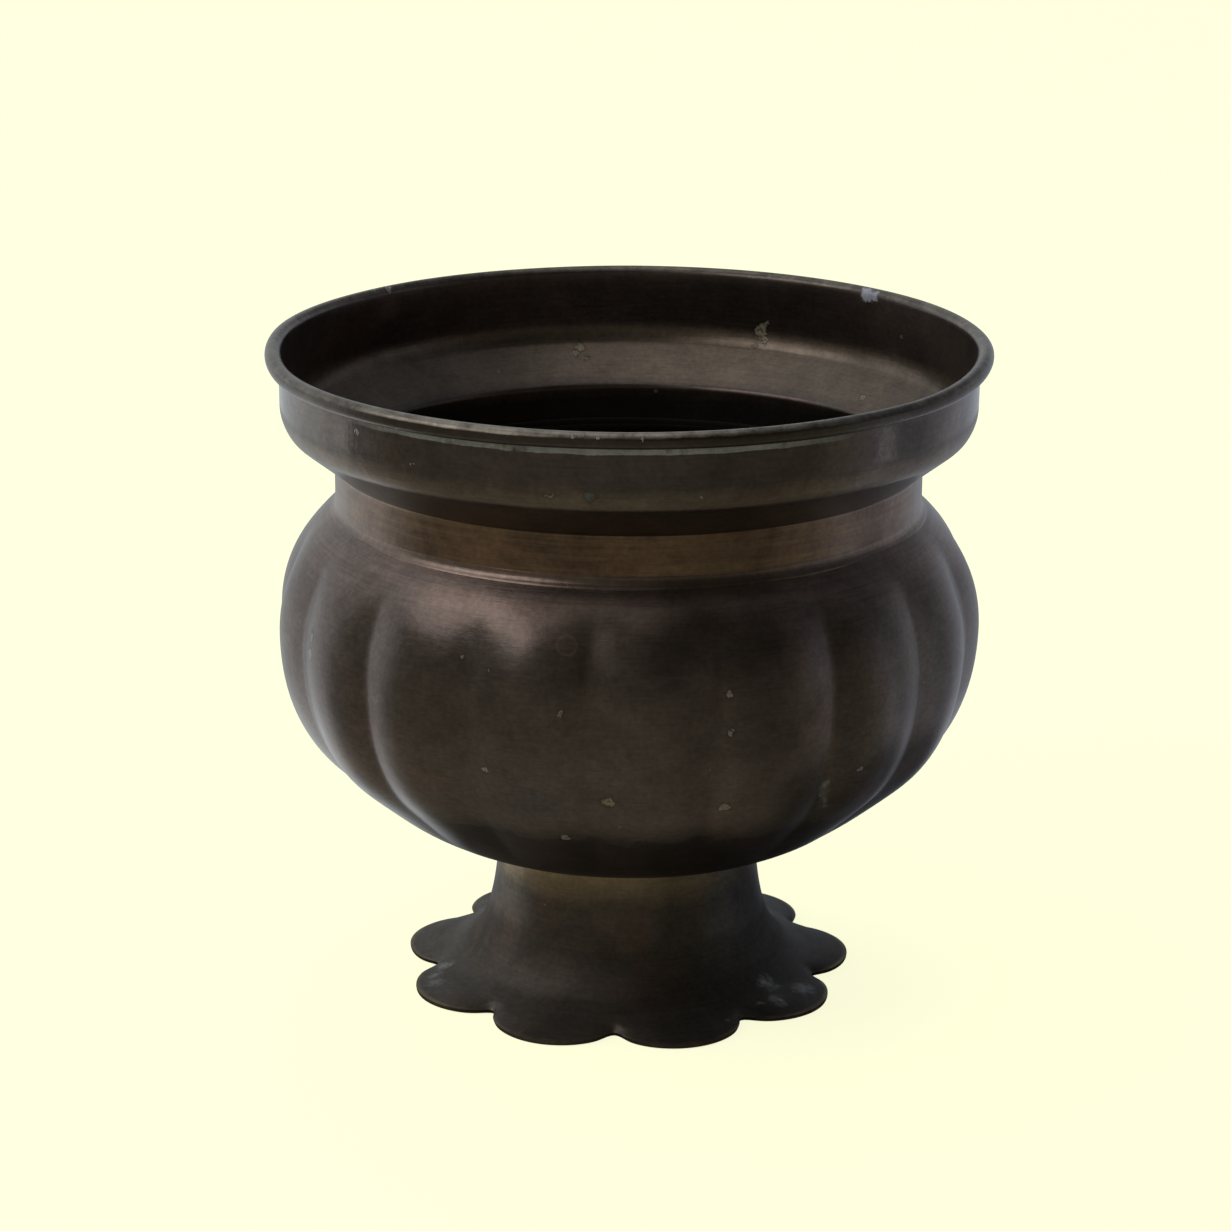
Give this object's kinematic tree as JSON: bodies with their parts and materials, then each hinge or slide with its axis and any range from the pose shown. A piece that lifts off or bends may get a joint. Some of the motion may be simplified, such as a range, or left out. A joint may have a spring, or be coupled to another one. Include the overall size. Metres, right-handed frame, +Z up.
{
  "type": "footed fluted brass bowl",
  "caption": "Round footed brass bowl with a fluted belly, a turned-out collar with a rolled rim and a petal-edged trumpet foot.",
  "frame": {"origin": "on the ground under the centre of the foot", "axes": "+Z up along the axis of the vessel; -Y runs through a valley between two flutes"},
  "size_m": [0.2, 0.2, 0.1845],
  "materials": {
    "bowl_brass": "old dark tarnished satin brass, fine spun lines",
    "collar_brass": "old dark tarnished satin brass, the upright band rubbed warmer",
    "foot_brass": "old olive-brown tarnished brass with limescale patches",
    "iron_wire": "plain drawn wire, hidden in the rim",
    "seam_solder": "dull brazing brass"
  },
  "bodies": {
    "root": {"bowl": "bowl_brass", "collar": "collar_brass", "rim_wire": "iron_wire", "neck_solder": "seam_solder", "foot": "foot_brass", "foot_solder": "seam_solder"}
  },
  "joints": []
}
